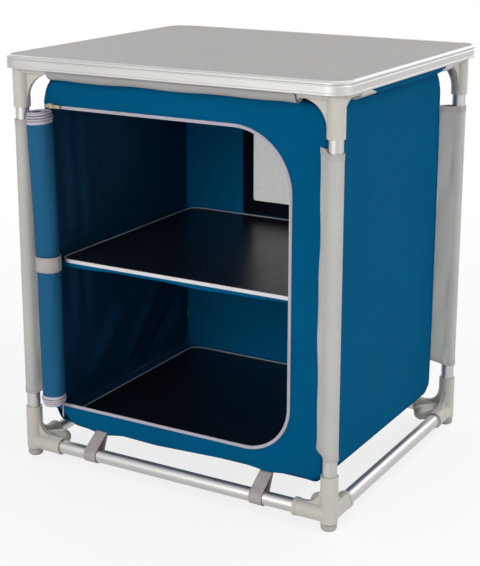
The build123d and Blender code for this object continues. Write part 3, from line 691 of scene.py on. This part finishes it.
def rolled_door():
    turn = np.linspace(0, ALL_TURNS * 2 * np.pi, 340)
    inward = np.minimum(turn / (2 * np.pi), TIGHT_TURNS) - TIGHT_TURNS
    tilt = 0.0008 * np.cos(turn + 1.2)
    low = roll_low.z + 0.0010 - ROLL_STEP * inward + tilt
    high = roll_high.z - 0.0015 + ROLL_STEP * inward + tilt
    share = np.linspace(0, 1, 60)
    z = low[:, None] + (high - low)[:, None] * share
    points = roll_place(turn[:, None], z)
    mesh = grid("rolled_cloth", points)
    made = piece("rolled_cloth", mesh, [BLUE_ROLL_LIT, BLUE_INSIDE], replaces=["door_roll"])
    thicken(made, 0.0010, inner=True)
    across = np.array([-0.0014, 0.0, 0.0035, 0.0060, 0.0066])  # the tape's section, from the cloth's edge
    proud = np.array([0.0, 0.0004, 0.0005, 0.0005, 0.0001])
    bands, seams = [], []
    for end, sign in ((low, 1), (high, -1)):
        bands.append((roll_place(turn[:, None], end[:, None] + sign * across, proud), OPEN))
        edge = resampled(roll_place(turn, end - sign * 0.0006, 0.0004), 0.0007)
        bands.append((tube_points(edge, 0.0013 + 0.0003 * teeth(len(edge)), 7), TUBE))
        # dark lines a little in from each tape edge: a seam, darkened as painted shade of the gaps between
        # the ridges
        seam = resampled(roll_place(turn, end + sign * 0.0017, 0.0006), 0.002)
        seams.append((tube_points(seam, 0.00042, 5), TUBE))
    piece("rolled_tape", joined("rolled_tape", bands), [TAPE], replaces=["roll_tape"])
    piece("rolled_seam_shadows", joined("rolled_seam_shadows", seams), [SEAM_SHADOW_THREAD])


def strap_points(radius, start, end, low, high, count):
    """An upright band round the roll, from one angle to another."""
    angle = np.radians(np.linspace(start, end, count))
    x, y = roll_axis(STRAP_Z)
    ring = np.stack([x + radius * np.cos(angle), y + radius * np.sin(angle), 0 * angle], 1)
    return ring[:, None] + np.linspace(low, high, 9)[:, None] * np.array([0, 0, 1])


def roll_band():
    """The strap round the roll, sewn to the cabinet's edge, and its free end, which peels open."""
    seam = np.degrees(np.arctan2(SEAM[1] - ROLL_Y, SEAM[0] - ROLL_X))
    share = np.linspace(0, 1, 120)
    radius = BAND_R + 0.0050 * (np.exp(-share / 0.03) + np.exp(-(1 - share) / 0.03))
    points = strap_points(radius, seam + 6, seam + 354, strap_low.z, strap_high.z, 120)
    made = piece("roll_band", grid("roll_band", points), [STRAP], replaces=["roll_strap"])
    thicken(made, 0.0009, offset=1.0)
    tab_low, tab_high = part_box("strap_tab")
    points = strap_points(BAND_END_R, -62, -4, tab_low.z, tab_high.z, 24)
    end = piece("band_end", grid("band_end", points), [STRAP], body="tab",
                replaces=["strap_tab"])
    thicken(end, 0.0009, offset=1.0)


# Cloth sleeves on the legs, each a loop from the cabinet's corner round the leg
HEM_W = 0.0095


def loop_normals(loop):
    """The way out of a closed loop at each of its points."""
    ways = np.roll(loop, -1, 0) - np.roll(loop, 1, 0)
    ways /= np.linalg.norm(ways, axis=1)[:, None]
    return np.stack([ways[:, 1], -ways[:, 0]], 1)


def rounded(points, spacing, passes=3):
    """A closed run of points cut at its corners again and again, then spaced evenly."""
    loop = np.array(points, float)
    for _ in range(passes):
        after = np.roll(loop, -1, 0)
        loop = np.stack([0.75 * loop + 0.25 * after, 0.25 * loop + 0.75 * after], 1).reshape(-1, 2)
    loop = resampled(np.concatenate([loop, loop[:1]]), spacing)
    return loop[:-1]


def sleeve_loop(reach, slack):
    """The sleeve's section: round the leg at the origin and out to its seam, with a flap if slack."""
    spread = np.arccos(SLEEVE_R / reach)
    arc = np.linspace(spread, 2 * np.pi - spread, 15)
    ring = SLEEVE_R * 1.02 * np.stack([np.cos(arc), np.sin(arc)], 1)
    if slack:  # cloth that stands off the leg as a flap before it turns back to the seam
        keep = ring[ring[:, 1] < SLEEVE_R * 0.98]
        keep = keep[(keep[:, 0] < 0) | (keep[:, 1] < 0)]
        flap = [(0.033, 0.0010), (0.0290, 0.0045), (0.0235, 0.0100), (0.0198, 0.0154),
                (0.0168, 0.0160), (0.0080, 0.0146), (-0.0022, 0.0122)]
        points = [(reach, 0.0), *flap, *keep.tolist()]
    else:
        points = [(reach, -0.0012), (reach, 0.0012), *ring.tolist()]
    return rounded(points, 0.0012)


def leg_sleeve(corner, side_x, side_y):
    low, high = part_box(f"leg_sleeve_{corner}")[0].z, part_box(f"leg_sleeve_{corner}")[1].z
    centre = np.array([side_x * LEG_X, side_y * LEG_Y])
    to_corner = np.array([side_x * (RIGHT - 0.0008), side_y * (BACK - 0.0008)]) - centre
    reach = np.linalg.norm(to_corner)
    way = to_corner / reach
    across = np.array([-way[1], way[0]])
    slack = corner == "front_right"
    loop = sleeve_loop(reach - 0.0012, slack)
    normals = loop_normals(loop)
    close = np.linspace(0, 0.024, 14)
    share = np.concatenate([close, np.linspace(0.034, 0.966, 60), 1 - close[::-1]])
    if slack:
        low_edge = low + 0.012 * smooth((loop[:, 1] - 0.0085) / 0.0065)
        high_edge = high + 0.006 * smooth((loop[:, 1] - 0.0105) / 0.0045)
    else:
        out = np.clip((loop[:, 0] - 0.004) / 0.028, 0, 1)
        low_edge, high_edge = low + 0.010 * out, high + 0.0015 * out
    z = low_edge[:, None] + (high_edge - low_edge)[:, None] * share
    to_edge = np.minimum(z - low_edge[:, None], high_edge[:, None] - z)
    hem = smooth((HEM_W - to_edge) / 0.0008)
    ripple = 0.0008 * np.sin(23 * z + 5 * side_x + 90 * loop[:, :1])
    ripple = ripple + 0.0005 * np.sin(61 * z + 140 * loop[:, :1])
    loose = smooth((np.linalg.norm(loop, axis=1)[:, None] - SLEEVE_R) / 0.004)
    shift = 0.0005 * hem + ripple * loose + 0.0002 * (1 - loose)
    if not slack:
        shift = shift + 0.0012 * smooth((0.03 - to_edge) / 0.03) * loose
    ab = loop[:, None, :] + normals[:, None, :] * shift[..., None]
    xy = centre + ab[..., :1] * way + ab[..., 1:] * across
    points = np.concatenate([xy, z[..., None]], -1)
    name = f"post_sleeve_{corner}"
    mesh = grid(name, points, wrap=RING)
    made = piece(name, mesh, [GREY, GREY_INSIDE_SHADED, GREY_HEM],
                 replaces=[f"leg_sleeve_{corner}"])
    in_hem = (hem[:, 1:] + hem[:, :-1] > 1.2).ravel()
    mesh.polygons.foreach_set("material_index", np.where(in_hem, 2, 0).astype(np.int32))
    thicken(made, 0.0008)
    around = float(run_lengths(points, 0, True)[-1])
    outward = np.concatenate([normals[:, :1] * way + normals[:, 1:] * across, np.zeros((len(loop), 1))], 1)
    seams = [points[:, row] + 0.0002 * outward for row in (4, 12, -13, -5)]
    return [np.concatenate([seam, seam[:1]]) for seam in seams]


# Cloth tunnels on the top rails, and webbing ties round the front bottom rail
TUNNEL_IN_X, TUNNEL_IN_Y = 0.058, 0.084  # from a leg's axis to the end of a tunnel
TUNNEL_FACE = 0.0006  # a tunnel is sewn this far inside the panel's face
SLANT = 0.038  # the undersides of the side tunnels' ends are cut back by this much


def teardrop(hub, tip, r, around, ends):
    """A loop from its tip round a circle and back; ends says where the straight runs have points."""
    mid = np.arctan2(*(tip - hub)[::-1])
    spread = np.arccos(min(1, r / np.linalg.norm(tip - hub)))
    angles = np.linspace(mid + spread, mid + 2 * np.pi - spread, around)
    circle = hub + r * np.stack([np.cos(angles), np.sin(angles)], 1)
    first = tip + (circle[0] - tip) * ends[:, None]
    last = tip + (circle[-1] - tip) * ends[::-1, None]
    return np.concatenate([first, circle, last])


def rail_tunnel(side, outward, along, rail_out, panel_out, half, outer, inner, slot, gape, slant):
    """Cloth round a rail: one end gapes, or the undersides of both ends are cut at a slant."""
    foot = np.array([panel_out - TUNNEL_FACE, TOP + 0.0005])
    hub = np.array([rail_out, RAIL_Z])
    end = np.linspace(half - 0.01, half, 6)
    h = np.concatenate([-end[::-1], np.linspace(-half + 0.012, half - 0.012, 70), end])
    rows = []
    for place in h:
        keep = 1 - 0.5 * smooth((np.abs(place) - (half - 0.06)) / 0.06)
        flare = gape * smooth((place - half + 0.03) / 0.03)
        r = SLEEVE_R * (1 + 0.015 * np.sin(30 * place) + 0.12 * flare)
        loop = teardrop(hub, hub + (foot - hub) * keep, r, 40, np.linspace(0.02, 0.9, 6))
        loop[:, 1] -= 0.0007 * np.sin(45 * place + 1) * (loop[:, 1] < RAIL_Z)
        rows.append(loop)
    loop = np.array(rows)
    out, up, h = loop[..., :1], loop[..., 1:], h[:, None, None]
    skew = -0.010 * gape * smooth((h - half + 0.05) / 0.05) * smooth((up - RAIL_Z) / 0.01)
    drawn = smooth((np.abs(h) - half + 0.07) / 0.07) * smooth((RAIL_Z + 0.004 - up) / 0.016)
    shift = skew - slant * np.sign(h) * drawn
    outward, along = np.array(outward, float), np.array(along, float)
    points = out * outward + (h + shift) * along + up * np.array([0, 0, 1])
    name = f"hanging_sleeve_{side}"
    flip = float(np.cross(along, outward)[2]) > 0
    made = piece(name, grid(name, points, flip=flip), [outer, inner],
                 replaces=[f"tunnel_{side}"])
    thicken(made, 0.0008, inner=True)
    middle = len(points) // 2
    around = float(run_lengths(points[middle - 5:middle + 5], 1, False)[-1])


def rail_tie(side, x):
    """A webbing strap from the cabinet's lower edge round the front rail."""
    hub, tip = np.array([LEG_Y, LOW_RAIL_Z]), np.array([-FRONT - 0.002, BOTTOM - 0.001])
    loop = teardrop(hub, tip, TIE_R, 44, np.linspace(0.03, 0.95, 9))
    section = np.stack([0 * loop[:, 0], -loop[:, 0], loop[:, 1]], 1)
    width = np.linspace(-TIE_W / 2, TIE_W / 2, 9)
    points = section[:, None] + (x + width)[:, None] * np.array([1, 0, 0])
    name = f"tie_{side}"
    made = piece(name, grid(name, points, flip=True), [STRAP],
                 replaces=[f"rail_tie_{side}"])
    thicken(made, 0.0011, offset=1.0)


# Mesh window with its border
def window():
    y = (mesh_low.y + mesh_high.y) / 2
    pitch, half = 0.0018, 0.00034  # of the net's threads
    x0, x1, z0, z1 = mesh_low.x, mesh_high.x, mesh_low.z, mesh_high.z

    def billow(x, z):
        return y + 0.002 * np.sin(np.pi * (x - x0) / (x1 - x0)) * np.sin(np.pi * (z - z0) / (z1 - z0))

    threads = []
    z = np.linspace(z0, z1, 20)
    for x in np.arange(x0 + pitch, x1, pitch):
        threads.append(np.stack([x + 0 * z, billow(x, z), z], 1))
    x = np.linspace(x0, x1, 20)
    for z in np.arange(z0 + pitch, z1, pitch):
        threads.append(np.stack([x, billow(x, z) + half, z + 0 * x], 1))
    mesh = joined("window_net", [(tube_points(thread, half, 4), TUBE) for thread in threads])
    piece("window_net", mesh, [NET], replaces=["window_mesh"])
    low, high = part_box("window_binding")
    angles = np.radians(np.linspace(0, 360, 200, endpoint=False))
    share = np.linspace(0, 1, 8)
    opening = (x0 + 0.001, x1 - 0.001, z0 + 0.001, z1 - 0.001, WINDOW_R, WINDOW_R)
    edge = (low.x + 0.005, high.x - 0.005, low.z, high.z, 0.006, 0.006)
    rows = between_outlines((0.0, (z0 + z1) / 2), angles, opening, edge, share)
    ripple = 0.0004 * np.sin(np.pi * share) * np.sin(7 * angles)[:, None]
    mesh = grid("window_border", upright(rows, low.y + 0.0004 - ripple), wrap=RING)
    made = piece("window_border", mesh, [NAVY], replaces=["window_binding"])
    thicken(made, 0.0009)


def sling():
    """Cloth under the shelf, with a front fold that hangs just below the shelf's edge."""
    low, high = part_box("shelf_sling")
    x = np.linspace(low.x, high.x, 90)
    hem = 0.0062 + 0.0014 * np.sin(x * 24 + 0.5) + 0.0006 * np.sin(x * 61)
    fold = [(0.0012, -1.0), (0.0004, -0.6), (0.0, -0.3), (0.0003, -0.08)]  # depth, and share of the hem
    run = [(low.y + depth, level) for depth, level in fold]
    run += [(y, 0.0) for y in np.linspace(low.y + 0.002, high.y, 30)]
    points = np.array([np.stack([x, y + 0 * x, high.z + level * hem], 1) for y, level in run])
    made = piece("sling_cloth", grid("sling_cloth", points), [BLUE, BLUE], replaces=["shelf_sling"])
    thicken(made, inner=True)


def corner_seams(front_points):
    """Piping where the upright panels meet, along each rounded corner of the cabinet."""
    outer = front_points[:, -1]
    x, z = outer[:, 0], outer[:, 2]
    seams = []
    for part in (x > 0.15, (x < -0.19) & (z < 0.2), (x < -0.17) & (z > 0.5)):
        line = outer[part][:, (0, 2)]
        back = 0.0025 * smooth((RIGHT - np.abs(line[:, 0]) - 0.002) / 0.02)  # the level edges turn in
        seams.append(upright(line, FRONT + 0.0012 + back))
    half = RIGHT - 0.0002
    h = np.linspace(half - 0.06, half, 60)
    low, high = side_limits(h, half, PANEL_LOW_R, PANEL_TOP_R)
    path = np.concatenate([np.stack([h, low], 1), np.stack([h, high], 1)[::-1]])
    seams += [upright(path * (sign, 1), BACK - 0.0012) for sign in (-1, 1)]
    parts = []
    for seam in seams:
        line = resampled(seam, 0.004)
        share = np.linspace(0, 1, len(line))
        radius = 0.0003 + 0.0014 * smooth(share / 0.3) * smooth((1 - share) / 0.3)
        parts.append((tube_points(line, radius, 10), TUBE))
    piece("corner_piping", joined("corner_piping", parts), [BLUE])


front_points = front_cloth()
RIGHT_CREASES = [((-0.07, 0.47), (0.03, 0.53), 0.012, 0.0016)]
LEFT_CREASES = [
    ((-0.16, 0.12), (0.06, 0.28), 0.03, 0.005),
    ((0.05, 0.070), (0.16, 0.15), 0.013, 0.008),
    ((-0.02, 0.075), (0.12, 0.22), 0.014, -0.006),
    ((-0.13, 0.080), (-0.02, 0.19), 0.016, -0.005),
]
side_cloth("right", 1, RIGHT_CREASES, right_belly)
side_cloth("left", -1, LEFT_CREASES, left_belly)
back_cloth()
level_cloth("floor_cloth", "cabinet_floor", PANEL_LOW_R, 0.0006, 0.008, 1)
level_cloth("top_cloth", "cabinet_top", PANEL_TOP_R, 0.004, 0.0, -1)
zip_band()
rolled_door()
roll_band()
hem_rows = []
for corner, (side_x, side_y) in CORNERS.items():
    hem_rows += leg_sleeve(corner, side_x, side_y)
stitches("sleeve_stitches", hem_rows, PALE_THREAD)
half_x, half_y = LEG_X - TUNNEL_IN_X, LEG_Y - TUNNEL_IN_Y
# the front and back tunnels get darker greys: painted shadow of the rim outside and painted shade inside
grey = (GREY_TUNNEL_SHADED, GREY_INSIDE_SHADED, "sleeve_cloth", 1, 0)
blue = (BLUE, BLUE_INSIDE, "cabinet_cloth", 0, SLANT)
rail_tunnel("front", (0, -1, 0), (1, 0, 0), LEG_Y, -FRONT, half_x, *grey)
rail_tunnel("back", (0, 1, 0), (1, 0, 0), LEG_Y, BACK, half_x, *grey)
rail_tunnel("left", (-1, 0, 0), (0, 1, 0), LEG_X, -LEFT, half_y, *blue)
rail_tunnel("right", (1, 0, 0), (0, 1, 0), LEG_X, RIGHT, half_y, *blue)
rail_tie("left", -TIE_X)
rail_tie("right", TIE_X)
window()
sling()
corner_seams(front_points)


# Camera, at the photograph's angle
CAMERA_PLACE = (1.0705, -1.8863, 0.9395)
AZIMUTH, ELEVATION, ROLL = np.radians((29.877, 14.491, 0.07))
LENS_MM, SENSOR_MM, SHIFT_Y = 85.42, 36, -0.1


def make_camera():
    data = bpy.data.cameras.new("camera")
    data.lens, data.sensor_width, data.shift_y = LENS_MM, SENSOR_MM, SHIFT_Y
    camera = bpy.data.objects.new("camera", data)
    bpy.context.scene.collection.objects.link(camera)
    level = np.cos(ELEVATION)
    ahead = Vector((-np.sin(AZIMUTH) * level, np.cos(AZIMUTH) * level, -np.sin(ELEVATION)))
    side = Vector((np.cos(AZIMUTH), np.sin(AZIMUTH), 0))
    up = side.cross(ahead)
    right = side * np.cos(ROLL) + up * np.sin(ROLL)
    up = up * np.cos(ROLL) - side * np.sin(ROLL)
    turned = Matrix((right, up, -ahead)).transposed().to_4x4()
    camera.matrix_world = Matrix.Translation(CAMERA_PLACE) @ turned
    bpy.context.scene.camera = camera


# Surroundings: white to the camera, soft light to the object
AMBIENT = 0.42
FLOOR_REACH, FLOOR_Z = 30.0, -0.0005  # how far out it goes, and its place just under the feet
SHADOW_KEPT = (0.5, 2.0, 0.8, 1.0)  # from and to which distance the floor fades, and how white it is there


def seen_directly(tree):
    """1 for rays from the camera and in reflections, 0 for rays that light the object."""
    path = tree.nodes.new("ShaderNodeLightPath")
    total = path.outputs["Is Camera Ray"]
    for name in ("Is Glossy Ray", "Is Transmission Ray"):
        add = tree.nodes.new("ShaderNodeMath")
        add.operation, add.use_clamp = "ADD", True
        tree.links.new(total, add.inputs[0])
        tree.links.new(path.outputs[name], add.inputs[1])
        total = add.outputs[0]
    return total


def make_floor():
    """A pale floor that keeps the shadow near the object and is white further out."""
    mesh = bpy.data.meshes.new("floor")
    corners = [(x * FLOOR_REACH, y * FLOOR_REACH, 0) for x, y in ((-1, -1), (1, -1), (1, 1), (-1, 1))]
    mesh.from_pydata(corners, [], [(0, 1, 2, 3)])
    floor = bpy.data.objects.new("studio_floor", mesh)
    floor.location.z = FLOOR_Z
    bpy.context.scene.collection.objects.link(floor)
    look = Look("studio_floor", 0.9, {"Specular IOR Level": 0.1})
    look.shader.inputs["Base Color"].default_value = (0.8, 0.8, 0.8, 1)
    nodes, links = look.tree.nodes, look.tree.links
    distance = look.node("VectorMath", {0: look.coords["Object"]}, "Value", operation="LENGTH")
    span = dict(enumerate((distance, *SHADOW_KEPT)))
    fade = look.node("MapRange", span, interpolation_type="SMOOTHSTEP")
    share = look.math("MULTIPLY", fade, seen_directly(look.tree))
    white = nodes.new("ShaderNodeEmission")
    mix = nodes.new("ShaderNodeMixShader")
    links.new(share, mix.inputs[0])
    links.new(look.shader.outputs[0], mix.inputs[1])
    links.new(white.outputs[0], mix.inputs[2])
    links.new(mix.outputs[0], nodes["Material Output"].inputs["Surface"])
    mesh.materials.append(look.material)


def make_world():
    world = bpy.data.worlds.new("studio")
    bpy.context.scene.world = world
    world.use_nodes = True
    nodes, links = world.node_tree.nodes, world.node_tree.links
    lit, shown = nodes["Background"], nodes.new("ShaderNodeBackground")
    lit.inputs["Color"].default_value = (1, 1, 1, 1)
    lit.inputs["Strength"].default_value = AMBIENT
    shown.inputs["Color"].default_value = (1, 1, 1, 1)
    mix = nodes.new("ShaderNodeMixShader")
    links.new(seen_directly(world.node_tree), mix.inputs[0])
    links.new(lit.outputs[0], mix.inputs[1])
    links.new(shown.outputs[0], mix.inputs[2])
    links.new(mix.outputs[0], nodes["World Output"].inputs["Surface"])


LIGHTS = (  # name, place, height that it aims at, diameter and power
    ("key", (-0.1, -3.0, 1.3), 0.35, 1.8, 52),
    ("fill", (2.75, 0.1, 1.75), 0.35, 1.8, 42),
    ("left", (-2.4, 1.5, 1.5), 0.35, 1.6, 18),
    ("behind", (0.9, 3.0, 1.7), 0.35, 1.8, 24),
    ("overhead", (0.2, 0.4, 3.0), 0.4, 2.0, 14),
)


def softbox(name, place, aim, size, power):
    data = bpy.data.lights.new(name, "AREA")
    data.shape, data.size, data.energy = "DISK", size, power
    light = bpy.data.objects.new(name, data)
    bpy.context.scene.collection.objects.link(light)
    light.location = place
    light.rotation_euler = (Vector((0, 0, aim)) - Vector(place)).to_track_quat("-Z", "Y").to_euler()


make_camera()
make_floor()
make_world()
for light in LIGHTS:
    softbox(*light)
bpy.context.scene.view_settings.view_transform = "Standard"
